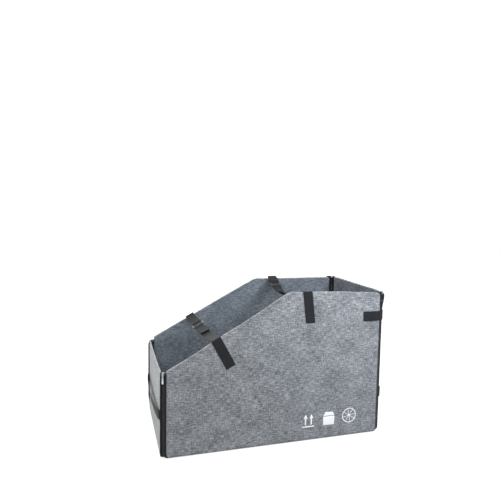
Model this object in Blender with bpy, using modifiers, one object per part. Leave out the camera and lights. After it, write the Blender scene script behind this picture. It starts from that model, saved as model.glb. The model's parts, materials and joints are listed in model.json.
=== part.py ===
"""Soft bike travel bag: an open-topped fabric bag, stiffened with boards, for a folded bike.

Metres, +Z up. X runs along the bag from the short end (-X) to the tall end (+X), and Y runs across it
from the near side (-Y) to the far side (+Y). The origin is on the ground, under the middle of the bag.

The base is the fixed piece. Four walls stand on it and fold outward about its edges, once the zips at
the four corners are run down. Two webbing straps cross the open top, and a third closes the tall end.
"""
import math

import bmesh
import bpy
from mathutils import Matrix, Vector

# Whole bag, over the fabric
bag_length = 0.880
bag_width = 0.460
short_end_height = 0.314
tall_end_height = 0.575
apex_from_short_end = 0.478
corner_cut = 0.0205

# Layers of the walls and the base
outer_fabric = 0.0012
lining = 0.0010
wall_board = 0.0030
base_board = 0.0040
clearance = 0.0003
hem_width = 0.012
base_hem_width = 0.009
board_split_height = 0.355
board_split_gap = 0.002

# Zips
tape_thickness = 0.0008
tape_depth = 0.0018
coil_width = 0.0024
coil_thickness = 0.0024
coil_parting = 0.0016
zip_foot = 0.016
zip_head_drop = 0.001

# Zip sliders, with a crown that the puller hangs in
slider_length = 0.011
slider_top_width = 0.0105
slider_foot_width = 0.0080
slider_plate = 0.0012
slider_web = 0.0009
slider_web_length = 0.007
slider_head_drop = 0.0035
slider_foot_rise = 0.008
crown_length = 0.0096
crown_bar = 0.0015
crown_width = 0.0020
crown_window = 0.0028
crown_sink = 0.0006

# Zip pullers
puller_thickness = 0.0014
puller_bar = 0.0007
puller_eye_length = 0.0068
puller_eye_width = 0.0034
puller_rail = 0.0018
puller_neck_width = 0.0044
puller_neck_length = 0.0045
puller_ring_radius = 0.0044
puller_ring_hole_radius = 0.0020
puller_pad_width = 0.0080
puller_pad_length = 0.0125

# Webbing, for the straps and the handles
webbing_width = 0.038
webbing_thickness = 0.0016
strap_tab_length = 0.118
tall_strap_tab_slant = 0.013
far_rim_radius = 0.0030
rim_landing = 0.003

# Places of the cross straps: shares of the slope's run, and of the level rim's run
short_strap_near_share = 0.414
short_strap_far_share = 0.374
tall_strap_near_share = 0.175
tall_strap_far_share = 0.216

# How the cross straps hang, and their adjusters
short_adjuster_from_far_side = 0.135
short_strap_drop = 0.016
short_adjuster_tilt = math.radians(3)
tall_adjuster_from_far_side = 0.062
tall_strap_drop = 0.024
tall_adjuster_tilt = math.radians(20)
far_rim_slack = 0.008
strap_pull_share = 0.38
strap_rim_angle = math.radians(12)
tail_length = 0.112
far_return_length = 0.034
run_parting = 0.0022
run_closing = 0.016
run_points = 14

# Adjuster buckle
adjuster_bar = 0.0050
adjuster_slot = 0.0078
adjuster_thickness = 0.0036
adjuster_rail = 0.0048
adjuster_play = 0.0010
adjuster_corner = 0.0030
bar_play = 0.0006
bar_bend_radius = 0.0018

# Carry handles on the two ends
handle_height = 0.158
handle_bow = 0.022
handle_end_inset = 0.0008
handle_stub = 0.0105
handle_steps = 16
stub_steps = 3

# Closing strap round the tall end
closing_drop = 0.0945
closing_tab_length = 0.073
closing_corner_radius = 0.004
patch_thickness = 0.0008
patch_width = 0.032
patch_inset = 0.004

# Fineness of round shapes, and the overrun of every cut
arc_steps = 4
ring_steps = 18
overrun = 0.002
weld_distance = 0.00001

half_length = bag_length / 2
half_width = bag_width / 2
wall = outer_fabric + wall_board + lining + 3 * clearance
base = outer_fabric + base_board + lining + 3 * clearance
wall_foot = base + clearance
side_end = half_length - corner_cut
end_side = half_width - corner_cut
slope_angle = math.atan2(tall_end_height - short_end_height, apex_from_short_end)
apex_x = apex_from_short_end - half_length
webbing_lift = clearance + webbing_thickness / 2
closing_height = tall_end_height - closing_drop

UP = Vector((0, 0, 1))
CORNERS = {"near_short": (-1, -1), "far_short": (-1, 1), "near_tall": (1, -1), "far_tall": (1, 1)}


def clear_scene():
    for thing in list(bpy.data.objects):
        bpy.data.objects.remove(thing)


def new_collection(name):
    collection = bpy.data.collections.new(name)
    bpy.context.scene.collection.children.link(collection)
    return collection


clear_scene()
bag = new_collection("soft_bike_travel_bag")
tools = new_collection("tools")


def material(name, colour, roughness, metallic=0.0):
    made = bpy.data.materials.new(name)
    made.use_nodes = True
    shader = made.node_tree.nodes["Principled BSDF"]
    linear = [(c / 255 / 12.92) if c <= 10 else ((c / 255 + 0.055) / 1.055) ** 2.4 for c in colour]
    shader.inputs["Base Color"].default_value = (*linear, 1)
    shader.inputs["Roughness"].default_value = roughness
    shader.inputs["Metallic"].default_value = metallic
    made.diffuse_color = (*linear, 1)
    return made


MELANGE = ("melange_fabric", (150, 156, 163), 0.9, 0.0)
PALE_MELANGE = ("end_panel_fabric", (163, 166, 168), 0.9, 0.0)
LINING = ("lining_fabric", (94, 100, 110), 0.9, 0.0)
BOARD = ("stiffener_board", (120, 110, 96), 0.8, 0.0)
TAPE = ("zip_tape", (28, 29, 31), 0.85, 0.0)
WEBBING = ("black_webbing", (43, 45, 47), 0.8, 0.0)
PATCH = ("loop_patch", (34, 35, 37), 0.95, 0.0)
ACETAL = ("adjuster_plastic", (30, 31, 33), 0.45, 0.0)
ZAMAK = ("slider_metal", (196, 198, 200), 0.3, 1.0)


def dress(piece, finish):
    piece.data.materials.clear()
    piece.data.materials.append(material(piece.name + "_" + finish[0], *finish[1:]))
    return piece


def placing(origin, across, up):
    """A frame whose first two axes are the two given unit directions."""
    across = Vector(across)
    up = Vector(up)
    normal = across.cross(up)
    axes = Matrix((across, up, normal)).transposed()
    return Matrix.Translation(Vector(origin)) @ axes.to_4x4()


def welded(mesh):
    work = bmesh.new()
    work.from_mesh(mesh)
    bmesh.ops.remove_doubles(work, verts=work.verts, dist=weld_distance)
    bmesh.ops.recalc_face_normals(work, faces=work.faces)
    work.to_mesh(mesh)
    work.free()
    return mesh


def evaluated_mesh(thing):
    bpy.context.view_layer.update()
    depsgraph = bpy.context.evaluated_depsgraph_get()
    return bpy.data.meshes.new_from_object(thing.evaluated_get(depsgraph))


def flat_piece(name, outlines, thickness, place, collection=bag):
    """A plate cut to the first outline, with the other outlines as holes, centred on its plane."""
    curve = bpy.data.curves.new(name, "CURVE")
    curve.dimensions = "2D"
    curve.fill_mode = "BOTH"
    curve.extrude = thickness / 2
    for outline in outlines:
        spline = curve.splines.new("POLY")
        spline.points.add(len(outline) - 1)
        for point, (across, up) in zip(spline.points, outline):
            point.co = (across, up, 0, 1)
        spline.use_cyclic_u = True
    guide = bpy.data.objects.new(name + "_outline", curve)
    collection.objects.link(guide)
    mesh = welded(evaluated_mesh(guide))
    bpy.data.objects.remove(guide)
    piece = bpy.data.objects.new(name, mesh)
    piece.matrix_world = place
    collection.objects.link(piece)
    return piece


def ribbon(name, path, width_vector, thickness=webbing_thickness):
    """A strip of webbing along a path of points, with the path down its middle."""
    work = bmesh.new()
    rows = [[work.verts.new(point + width_vector * side) for side in (-0.5, 0.5)] for point in path]
    for (low_a, high_a), (low_b, high_b) in zip(rows, rows[1:]):
        work.faces.new((low_a, low_b, high_b, high_a))
    mesh = bpy.data.meshes.new(name)
    work.to_mesh(mesh)
    work.free()
    strip = bpy.data.objects.new(name, mesh)
    bag.objects.link(strip)
    thicken = strip.modifiers.new("thickness", "SOLIDIFY")
    thicken.thickness = thickness
    thicken.offset = 0
    thicken.use_even_offset = True
    return strip


def as_tool(thing):
    thing.hide_render = True
    thing.display_type = "WIRE"
    return thing


def combine(piece, other, operation):
    step = piece.modifiers.new(operation.lower(), "BOOLEAN")
    step.operation = operation
    step.object = as_tool(other)
    return piece


def pivot(name, place):
    """An empty on a joint's axis, which the moving pieces hang on."""
    empty = bpy.data.objects.new(name, None)
    empty.location = place
    bag.objects.link(empty)
    bpy.context.view_layer.update()
    return empty


def hang(pieces, parent):
    bpy.context.view_layer.update()
    for piece in pieces:
        piece.parent = parent
        piece.matrix_parent_inverse = parent.matrix_world.inverted()


def rounded(points, radius, steps=arc_steps):
    """The path through the points, with an arc of the radius at each inner corner."""
    path = [points[0]]
    for before, corner, after in zip(points, points[1:], points[2:]):
        towards_before = (before - corner).normalized()
        towards_after = (after - corner).normalized()
        half_turn = towards_before.angle(towards_after) / 2
        reach = radius / math.tan(half_turn)
        centre = corner + (towards_before + towards_after).normalized() * radius / math.sin(half_turn)
        start = corner + towards_before * reach - centre
        finish = corner + towards_after * reach - centre
        path += [centre + start.slerp(finish, step / steps) * radius for step in range(steps + 1)]
    return path + [points[-1]]


def rim_height(x):
    """Height of the side walls' rim at a place along the bag."""
    slope_height = short_end_height + (x + half_length) * math.tan(slope_angle)
    return min(slope_height, tall_end_height)


def inset_rim(x, drop):
    """Height of a line that runs the given distance inside the side walls' rim."""
    slope_height = short_end_height + (x + half_length) * math.tan(slope_angle) - drop / math.cos(slope_angle)
    return min(slope_height, tall_end_height - drop)


def inset_apex(drop):
    return apex_x + drop * math.tan(slope_angle / 2)


def side_outline(end, foot, drop):
    """Outline of a side wall's layer, between its ends, from its foot to a line under the rim."""
    return [(-end, foot), (end, foot), (end, tall_end_height - drop), (inset_apex(drop), tall_end_height - drop),
            (-end, inset_rim(-end, drop))]


def clipped(outline, height, keep_above):
    """The part of an upright outline above, or below, a level line."""
    kept = []
    for (x0, z0), (x1, z1) in zip(outline, outline[1:] + outline[:1]):
        inside0 = (z0 >= height) == keep_above
        inside1 = (z1 >= height) == keep_above
        if inside0:
            kept.append((x0, z0))
        if inside0 != inside1:
            kept.append((x0 + (x1 - x0) * (height - z0) / (z1 - z0), height))
    return kept


def rectangle(low_across, high_across, low_up, high_up):
    return [(low_across, low_up), (high_across, low_up), (high_across, high_up), (low_across, high_up)]


def octagon(half_x, half_y, cut):
    return [(half_x, -half_y + cut), (half_x, half_y - cut), (half_x - cut, half_y), (-half_x + cut, half_y),
            (-half_x, half_y - cut), (-half_x, -half_y + cut), (-half_x + cut, -half_y), (half_x - cut, -half_y)]


def layer_depths(board):
    """Depths of the middles of the board and the lining under the outer face."""
    board_depth = outer_fabric + clearance + board / 2
    lining_depth = outer_fabric + 2 * clearance + board + lining / 2
    return board_depth, lining_depth


def make_panel(name, outline, pocket, boards, lining_outline, board, thickness, place_at, finish):
    """An outer skin with a turned hem round a pocket, the boards in the pocket, and the lining over them."""
    skin = flat_piece(name + "_outer", [outline], thickness, place_at(thickness / 2))
    cut_depth = thickness - outer_fabric + overrun
    cutter = flat_piece(name + "_pocket", [pocket], cut_depth, place_at(outer_fabric + cut_depth / 2), tools)
    combine(skin, cutter, "DIFFERENCE")
    board_depth, lining_depth = layer_depths(board)
    pieces = [dress(skin, finish)]
    for board_name, board_outline in boards:
        sheet = flat_piece(name + board_name, [board_outline], board, place_at(board_depth))
        pieces.append(dress(sheet, BOARD))
    cover = flat_piece(name + "_lining", [lining_outline], lining, place_at(lining_depth))
    pieces.append(dress(cover, LINING))
    return pieces


def make_base():
    def place_at(depth):
        return placing((0, 0, depth), (1, 0, 0), (0, 1, 0))

    def ring(inset):
        return octagon(half_length - inset, half_width - inset, corner_cut)

    inner = base_hem_width + clearance
    return make_panel("base", ring(0), ring(base_hem_width), [("_board", ring(inner))], ring(inner),
                      base_board, base, place_at, PALE_MELANGE)


def make_side(name, side):
    """A long wall: side is -1 for the near one and 1 for the far one."""
    def place_at(depth):
        return placing((0, side * (half_width - depth), 0), (1, 0, 0), UP)

    outline = side_outline(side_end, wall_foot, 0)
    pocket_foot = wall_foot + hem_width
    pocket = side_outline(side_end - hem_width, pocket_foot, hem_width)
    inner = side_outline(side_end - hem_width - clearance, pocket_foot + clearance, hem_width + clearance)
    lower = clipped(inner, board_split_height - board_split_gap / 2, False)
    upper = clipped(inner, board_split_height + board_split_gap / 2, True)
    return make_panel(name, outline, pocket, [("_board_lower", lower), ("_board_upper", upper)], inner,
                      wall_board, wall, place_at, MELANGE)


def make_end(name, end, height):
    """An end wall: end is -1 for the short one and 1 for the tall one."""
    def place_at(depth):
        return placing((end * (half_length - depth), 0, 0), (0, 1, 0), UP)

    def sheet(inset):
        return rectangle(-end_side + inset, end_side - inset, wall_foot + inset, height - inset)

    inner = hem_width + clearance
    return make_panel(name, sheet(0), sheet(hem_width), [("_board", sheet(inner))], sheet(inner),
                      wall_board, wall, place_at, PALE_MELANGE)


def corner_frame(corner):
    """Middle of the cut corner, the direction outward, and the direction from side wall to end wall."""
    end, side = CORNERS[corner]
    middle = Vector((end * (half_length - corner_cut / 2), side * (half_width - corner_cut / 2), 0))
    outward = Vector((end, side, 0)).normalized()
    along = Vector((end, -side, 0)).normalized()
    return middle, outward, along


def zip_top(corner):
    end_height = tall_end_height if CORNERS[corner][0] > 0 else short_end_height
    return end_height - zip_head_drop


def make_tape(name, corner, towards):
    """Half a zip: tape and coil. towards is -1 for the half on the side wall, 1 for the end wall's."""
    middle, outward, along = corner_frame(corner)
    reach = corner_cut / math.sqrt(2) - clearance * math.sqrt(2)
    inner_face = -tape_depth - tape_thickness / 2
    outer_face = -tape_depth + tape_thickness / 2
    coil_in = coil_parting / 2
    coil_out = coil_in + coil_width
    coil_low = -tape_depth - coil_thickness / 2
    coil_high = -tape_depth + coil_thickness / 2
    profile = [(reach + inner_face, inner_face), (reach + outer_face, outer_face), (coil_out, outer_face),
               (coil_out, coil_high), (coil_in, coil_high), (coil_in, coil_low), (coil_out, coil_low),
               (coil_out, inner_face)]
    plan = [middle + along * (across * towards) + outward * out for across, out in profile]
    top = zip_top(corner)
    place = placing((0, 0, (zip_foot + top) / 2), (1, 0, 0), (0, 1, 0))
    tape = flat_piece(name, [[(point.x, point.y) for point in plan]], top - zip_foot, place)
    return dress(tape, TAPE)


def slider_centre(corner):
    middle, outward, _along = corner_frame(corner)
    return middle + UP * (zip_top(corner) - slider_head_drop)


outer_plate_face = -tape_depth + coil_thickness / 2 + clearance
inner_plate_face = -tape_depth - coil_thickness / 2 - clearance
crown_foot = outer_plate_face + slider_plate
pin_out = crown_foot + crown_window / 2


def slider_outline():
    """A slider's plate: wide shoulders at the top, narrower at the foot."""
    half_height = slider_length / 2
    shoulder = slider_top_width / 2
    foot = slider_foot_width / 2
    return [(-foot, -half_height), (foot, -half_height), (foot + (shoulder - foot) / 2, 0),
            (shoulder, half_height / 2), (foot, half_height), (-foot, half_height),
            (-shoulder, half_height / 2), (-foot - (shoulder - foot) / 2, 0)]


def slider_mesh():
    """A slider in its own frame: across the zip, up it, and outward."""
    plate = slider_outline()
    outer_middle = outer_plate_face + slider_plate / 2
    inner_middle = inner_plate_face - slider_plate / 2
    body = flat_piece("slider", [plate], slider_plate, Matrix.Translation((0, 0, outer_middle)), tools)
    back = flat_piece("slider_back", [plate], slider_plate, Matrix.Translation((0, 0, inner_middle)), tools)
    web_depth = outer_plate_face - inner_plate_face + slider_plate
    web_outline = rectangle(-slider_web / 2, slider_web / 2, -slider_web_length / 2, slider_web_length / 2)
    web_place = Matrix.Translation((0, 0, (outer_plate_face + inner_plate_face) / 2))
    web = flat_piece("slider_web", [web_outline], web_depth, web_place, tools)
    crown_top = crown_foot + crown_window + crown_bar
    half_crown = crown_length / 2
    shell = [(-half_crown, crown_foot - crown_sink), (half_crown, crown_foot - crown_sink),
             (half_crown, crown_foot + crown_window / 2), (half_crown - crown_bar, crown_top),
             (-half_crown + crown_bar, crown_top), (-half_crown, crown_foot + crown_window / 2)]
    window = rectangle(-half_crown + crown_bar, half_crown - crown_bar, crown_foot, crown_foot + crown_window)
    crown = flat_piece("slider_crown", [shell, window], crown_width, placing((0, 0, 0), (0, 1, 0), UP), tools)
    for other in (back, web, crown):
        combine(body, other, "UNION")
    mesh = welded(evaluated_mesh(body))
    for used in (body, back, web, crown):
        bpy.data.objects.remove(used)
    return mesh


def circle(centre, radius, steps=ring_steps):
    return [(radius * math.cos(2 * math.pi * step / steps), centre + radius * math.sin(2 * math.pi * step / steps))
            for step in range(steps)]


def arc(centre, radius, start, finish, steps):
    angles = [start + (finish - start) * step / steps for step in range(steps + 1)]
    return [(radius * math.cos(angle), centre + radius * math.sin(angle)) for angle in angles]


def puller_mesh():
    """A puller in its own frame, hanging from its pin at the origin: an eye, a neck, a ring and a pad."""
    eye_half = puller_eye_width / 2
    eye_outer = eye_half + puller_rail
    eye_foot = -puller_bar - puller_eye_length
    neck_half = puller_neck_width / 2
    neck_top = eye_foot - puller_rail
    neck_foot = neck_top - puller_neck_length
    ring_centre = neck_foot - math.sqrt(puller_ring_radius ** 2 - neck_half ** 2)
    pad_half = puller_pad_width / 2
    waist_angle = math.acos(neck_half / puller_ring_radius)
    waist_top = ring_centre - puller_ring_radius * math.sin(waist_angle)
    pad_top = waist_top - neck_half
    pad_centre = pad_top - puller_pad_length + pad_half
    right = [(eye_outer, puller_bar), (eye_outer, eye_foot), (neck_half, neck_top)]
    right += arc(ring_centre, puller_ring_radius, waist_angle, -waist_angle, 2 * arc_steps)
    right += [(pad_half, pad_top)]
    pad = arc(pad_centre, pad_half, 0, -math.pi, 2 * arc_steps)
    left = [(-across, up) for across, up in reversed(right)]
    eye = rectangle(-eye_half, eye_half, eye_foot, -puller_bar)
    hole = circle(ring_centre, puller_ring_hole_radius)
    blank = flat_piece("puller", [right + pad + left, eye, hole], puller_thickness, Matrix.Identity(4), tools)
    mesh = blank.data
    bpy.data.objects.remove(blank)
    return mesh


def make_zip_hardware(corner, slider_blank, puller_blank):
    _middle, outward, _along = corner_frame(corner)
    centre = slider_centre(corner)
    across = UP.cross(outward)
    slider = bpy.data.objects.new("slider_" + corner, slider_blank.copy())
    slider.matrix_world = placing(centre, across, UP)
    puller = bpy.data.objects.new("puller_" + corner, puller_blank.copy())
    puller.matrix_world = placing(centre + outward * pin_out, across, UP)
    for piece in (slider, puller):
        bag.objects.link(piece)
        dress(piece, ZAMAK)
    return slider, puller


def strap_frame(near_x, far_x, angle):
    """Place of a cross strap: its point on the near rim, the rim's direction, the way up from it, its skew."""
    start = Vector((near_x, 0, rim_height(near_x)))
    rim = Vector((math.cos(angle), 0, math.sin(angle)))
    rise = Vector((-math.sin(angle), 0, math.cos(angle)))
    skew = (far_x - near_x) / math.cos(angle)
    return start, rim, rise, skew


def strap_point(frame, y, height, shift=None):
    """A point of a strap: across the bag, above the rim line, and along the rim by its skew."""
    start, rim, rise, skew = frame
    if shift is None:
        shift = skew * (y + half_width) / bag_width
    return start + rim * shift + rise * height + Vector((0, y, 0))


def bezier(points, steps):
    a, b, c, d = points
    path = []
    for step in range(steps + 1):
        t = step / steps
        path.append(a * (1 - t) ** 3 + b * 3 * t * (1 - t) ** 2 + c * 3 * t * t * (1 - t) + d * t ** 3)
    return path


def beside(run, side, wide, length):
    """The path that lies beside a run, starting wide of it and closing up, as far as the length."""
    path = []
    travelled = 0.0
    for index, point in enumerate(run):
        ahead = run[min(index + 1, len(run) - 1)] - run[max(index - 1, 0)]
        normal = Vector((-ahead.y, ahead.x)).normalized() * side
        gap = run_parting + (wide - run_parting) * max(0.0, 1 - travelled / run_closing)
        if travelled > length:
            break
        path.append(point + normal * gap)
        if index + 1 < len(run):
            travelled += (run[index + 1] - point).length
    return path


adjuster_half = 1.5 * adjuster_bar + adjuster_slot
bar_out = adjuster_thickness / 2 + bar_play + webbing_thickness / 2
bar_side = adjuster_bar / 2 + bar_play + webbing_thickness / 2
bar_centre = adjuster_half - adjuster_bar / 2


def adjuster_axes(tilt):
    """In the plane across the bag: the way along the adjuster towards the near side, and the way up from it."""
    along = Vector((-math.cos(tilt), -math.sin(tilt)))
    above = Vector((-math.sin(tilt), math.cos(tilt)))
    return along, above


def near_strap_path(sag):
    """A strap's path across the bag, from over the near rim, round the adjuster's front bar, to its tail's end."""
    from_far_side, drop, tilt = sag
    along, above = adjuster_axes(tilt)
    centre = Vector((half_width - from_far_side, -drop))
    front = centre + along * bar_centre
    landing = Vector((-half_width + wall + rim_landing, webbing_lift))
    start = Vector((-half_width - clearance - webbing_thickness, webbing_lift))
    under = front + along * bar_side - above * bar_out
    pull = (under - landing).length * strap_pull_share
    leaving = Vector((math.cos(strap_rim_angle), -math.sin(strap_rim_angle)))
    run = bezier([landing, landing + leaving * pull, under + along * pull, under], run_points)
    behind_low = front - along * bar_side - above * bar_out
    behind_high = front - along * bar_side + above * bar_out
    over = front + along * bar_side + above * bar_out
    loop = rounded([under, behind_low, behind_high, over], bar_bend_radius)
    tail = beside(list(reversed(run)), -1, 2 * bar_out, tail_length)
    return [start] + run + loop[1:] + tail[1:]


def far_strap_path(sag):
    """The far piece of webbing: up the far wall, over its rim, round the adjuster's rear bar, and back."""
    from_far_side, drop, tilt = sag
    along, above = adjuster_axes(tilt)
    centre = Vector((half_width - from_far_side, -drop))
    rear = centre - along * bar_centre
    foot = Vector((half_width + webbing_lift, -strap_tab_length))
    corner = Vector((half_width + webbing_lift, webbing_lift + far_rim_slack))
    landing = Vector((half_width - wall - rim_landing, webbing_lift))
    over = rear - along * bar_side + above * bar_out
    pull = (over - landing).length * strap_pull_share
    leaving = Vector((-math.cos(strap_rim_angle), -math.sin(strap_rim_angle)))
    run = bezier([landing, landing + leaving * pull, over - along * pull, over], run_points)
    ahead_high = rear + along * bar_side + above * bar_out
    ahead_low = rear + along * bar_side - above * bar_out
    under = rear - along * bar_side - above * bar_out
    loop = rounded([over, ahead_high, ahead_low, under], bar_bend_radius)
    back = beside(list(reversed(run)), 1, 2 * bar_out, far_return_length)
    return rounded([foot, corner, landing], far_rim_radius) + run[1:] + loop[1:] + back[1:]


def adjuster_mesh():
    """A three-bar adjuster in its own frame: across the strap, along it, and up from it."""
    half_across = webbing_width / 2 + adjuster_play + adjuster_rail
    cut = adjuster_corner
    outline = octagon(half_across, adjuster_half, cut)
    slot_half = webbing_width / 2 + adjuster_play
    near_edge = adjuster_bar / 2
    far_edge = near_edge + adjuster_slot
    slots = [rectangle(-slot_half, slot_half, near_edge, far_edge),
             rectangle(-slot_half, slot_half, -far_edge, -near_edge)]
    blank = flat_piece("adjuster", [outline] + slots, adjuster_thickness, Matrix.Identity(4), tools)
    mesh = blank.data
    bpy.data.objects.remove(blank)
    return mesh


def make_cross_strap(name, frame, sag, slant, adjuster_blank):
    """Near tab, crossing strap, far webbing and adjuster of one strap over the open top."""
    _start, rim, rise, _skew = frame
    width_vector = rim * webbing_width
    tab_y = -half_width - webbing_lift
    tab = ribbon(name + "_near_tab", [strap_point(frame, tab_y, -strap_tab_length, slant),
                                      strap_point(frame, tab_y, 0, 0)], width_vector)
    crossing = ribbon(name, [strap_point(frame, p.x, p.y) for p in near_strap_path(sag)], width_vector)
    far_path = [strap_point(frame, p.x, p.y) for p in far_strap_path(sag)]
    far_piece = ribbon(name + "_far_webbing", far_path, width_vector)
    from_far_side, drop, tilt = sag
    along, _above = adjuster_axes(tilt)
    centre = strap_point(frame, half_width - from_far_side, -drop)
    along_world = Vector((0, along.x, 0)) + rise * along.y
    adjuster = bpy.data.objects.new(name + "_adjuster", adjuster_blank.copy())
    adjuster.matrix_world = placing(centre, -rim, along_world)
    bag.objects.link(adjuster)
    for piece in (tab, crossing, far_piece):
        dress(piece, WEBBING)
    dress(adjuster, ACETAL)
    return tab, crossing, far_piece, adjuster


def handle_run(end, inset, low, high, steps):
    """Points of a handle's inner or outer face in plan, a half ellipse, from one place across to another."""
    bow = handle_bow - inset
    reach = end_side - handle_end_inset - inset
    start = math.asin(max(-1.0, min(1.0, low / reach)))
    finish = math.asin(max(-1.0, min(1.0, high / reach)))
    angles = [start + (finish - start) * step / steps for step in range(steps + 1)]
    return [(end * (half_length + clearance + bow * math.cos(angle)), reach * math.sin(angle)) for angle in angles]


def make_handle(name, end):
    """A webbing handle: the loop, and its two stubs at the corner seams."""
    reach = end_side - handle_end_inset
    loop_end = reach - handle_stub
    spans = {"_loop": (-loop_end, loop_end, handle_steps),
             "_stub_near": (-reach, -loop_end - clearance, stub_steps),
             "_stub_far": (loop_end + clearance, reach, stub_steps)}
    place = placing((0, 0, handle_height), (1, 0, 0), (0, 1, 0))
    pieces = []
    for label, (low, high, steps) in spans.items():
        outer = handle_run(end, 0, low, high, steps)
        inner = handle_run(end, webbing_thickness, low, high, steps)
        pieces.append(flat_piece(name + label, [outer + inner[::-1]], webbing_width, place))
        dress(pieces[-1], WEBBING)
    return pieces[0], pieces[1:]


closing_out = half_width + 2 * clearance + patch_thickness + webbing_thickness / 2


def make_closing_strap():
    """The strap across the tall end, and its two tabs, which wrap the corners onto the long walls."""
    face = half_length + webbing_lift
    width_vector = UP * webbing_width
    middle = ribbon("closing_strap", [Vector((face, -end_side, closing_height)),
                                      Vector((face, end_side, closing_height))], width_vector)
    dress(middle, WEBBING)
    tabs = {}
    patches = {}
    for label, side in (("near", -1), ("far", 1)):
        tip = side_end - closing_tab_length
        corners = [Vector((face, side * (end_side + clearance), closing_height)),
                   Vector((face, side * closing_out, closing_height)),
                   Vector((tip, side * closing_out, closing_height))]
        tabs[label] = ribbon("closing_tab_" + label, rounded(corners, closing_corner_radius), width_vector)
        patch_outline = rectangle(tip + patch_inset, side_end - patch_inset,
                                  closing_height - patch_width / 2, closing_height + patch_width / 2)
        patch_y = side * (half_width + clearance + patch_thickness / 2)
        patches[label] = flat_piece("loop_patch_" + label, [patch_outline], patch_thickness,
                                    placing((0, patch_y, 0), (1, 0, 0), UP))
        dress(tabs[label], WEBBING)
        dress(patches[label], PATCH)
    return middle, tabs, patches


def build():
    make_base()
    walls = {"near": make_side("near", -1), "far": make_side("far", 1),
             "short": make_end("short_end", -1, short_end_height),
             "tall": make_end("tall_end", 1, tall_end_height)}
    for corner in CORNERS:
        side, end = corner.split("_")
        walls[side].append(make_tape("zip_" + corner + "_side_half", corner, -1))
        walls[end].append(make_tape("zip_" + corner + "_end_half", corner, 1))

    adjuster_blank = adjuster_mesh()
    level_run = half_length - apex_x
    straps = {
        "strap_short": (strap_frame(apex_from_short_end * short_strap_near_share - half_length,
                                    apex_from_short_end * short_strap_far_share - half_length, slope_angle),
                        (short_adjuster_from_far_side, short_strap_drop, short_adjuster_tilt), 0),
        "strap_tall": (strap_frame(apex_x + level_run * tall_strap_near_share,
                                   apex_x + level_run * tall_strap_far_share, 0),
                       (tall_adjuster_from_far_side, tall_strap_drop, tall_adjuster_tilt),
                       tall_strap_tab_slant),
    }
    crossings = []
    for name, (frame, sag, slant) in straps.items():
        tab, crossing, far_piece, adjuster = make_cross_strap(name, frame, sag, slant, adjuster_blank)
        walls["near"].append(tab)
        walls["far"] += [far_piece, adjuster]
        hinge_y = -half_width - 2 * clearance - webbing_thickness
        crossings.append((name, crossing, strap_point(frame, hinge_y, clearance + webbing_thickness, 0)))

    loops = []
    for name, end, key in (("short_handle", -1, "short"), ("tall_handle", 1, "tall")):
        loop, stubs = make_handle(name, end)
        walls[key] += stubs
        loops.append((name, loop, key, Vector((end * (half_length + webbing_lift), 0, handle_height))))

    middle, tabs, patches = make_closing_strap()
    walls["tall"].append(middle)
    for label, patch in patches.items():
        walls[label].append(patch)

    hinges = {"near": pivot("near_wall_hinge", (0, -half_width, 0)),
              "far": pivot("far_wall_hinge", (0, half_width, 0)),
              "short": pivot("short_end_hinge", (-half_length, 0, 0)),
              "tall": pivot("tall_end_hinge", (half_length, 0, 0))}
    for key, pieces in walls.items():
        hang(pieces, hinges[key])

    for name, crossing, place in crossings:
        turn = pivot(name + "_hinge", place)
        hang([crossing], turn)
        hang([turn], hinges["near"])
    for name, loop, key, place in loops:
        turn = pivot(name + "_hinge", place)
        hang([loop], turn)
        hang([turn], hinges[key])
    for label, tab in tabs.items():
        side = -1 if label == "near" else 1
        turn = pivot("closing_tab_" + label + "_hinge",
                     (half_length + clearance + webbing_thickness, side * (end_side + clearance / 2),
                      closing_height))
        hang([tab], turn)
        hang([turn], hinges["tall"])

    slider_blank = slider_mesh()
    puller_blank = puller_mesh()
    for corner in CORNERS:
        slider, puller = make_zip_hardware(corner, slider_blank, puller_blank)
        hang([slider], hinges[corner.split("_")[0]])
        hang([puller], slider)


build()
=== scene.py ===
import json
import math

import bmesh
import bpy
from mathutils import Matrix, Vector, noise

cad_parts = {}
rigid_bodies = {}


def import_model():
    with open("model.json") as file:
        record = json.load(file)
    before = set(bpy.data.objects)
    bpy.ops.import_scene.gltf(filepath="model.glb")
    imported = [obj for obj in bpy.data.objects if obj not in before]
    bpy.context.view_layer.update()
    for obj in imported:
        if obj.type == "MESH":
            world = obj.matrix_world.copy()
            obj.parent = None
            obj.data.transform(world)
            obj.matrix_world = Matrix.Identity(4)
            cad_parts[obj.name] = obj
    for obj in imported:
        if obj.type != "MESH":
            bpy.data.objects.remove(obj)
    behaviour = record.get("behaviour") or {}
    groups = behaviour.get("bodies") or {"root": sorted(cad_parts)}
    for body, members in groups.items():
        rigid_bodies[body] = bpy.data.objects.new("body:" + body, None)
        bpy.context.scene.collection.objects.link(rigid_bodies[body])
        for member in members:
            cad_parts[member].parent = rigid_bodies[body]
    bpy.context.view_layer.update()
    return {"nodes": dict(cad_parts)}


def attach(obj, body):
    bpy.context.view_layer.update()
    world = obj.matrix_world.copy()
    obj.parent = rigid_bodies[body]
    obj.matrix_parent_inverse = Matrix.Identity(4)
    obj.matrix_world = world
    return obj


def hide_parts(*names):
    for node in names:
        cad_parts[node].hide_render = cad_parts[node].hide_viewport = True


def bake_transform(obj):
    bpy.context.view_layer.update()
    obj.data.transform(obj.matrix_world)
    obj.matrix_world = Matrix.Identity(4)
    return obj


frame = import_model()
for thing in list(bpy.context.scene.objects):
    thing.select_set(False)

MM = 0.001
UP = Vector((0, 0, 1))

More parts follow.
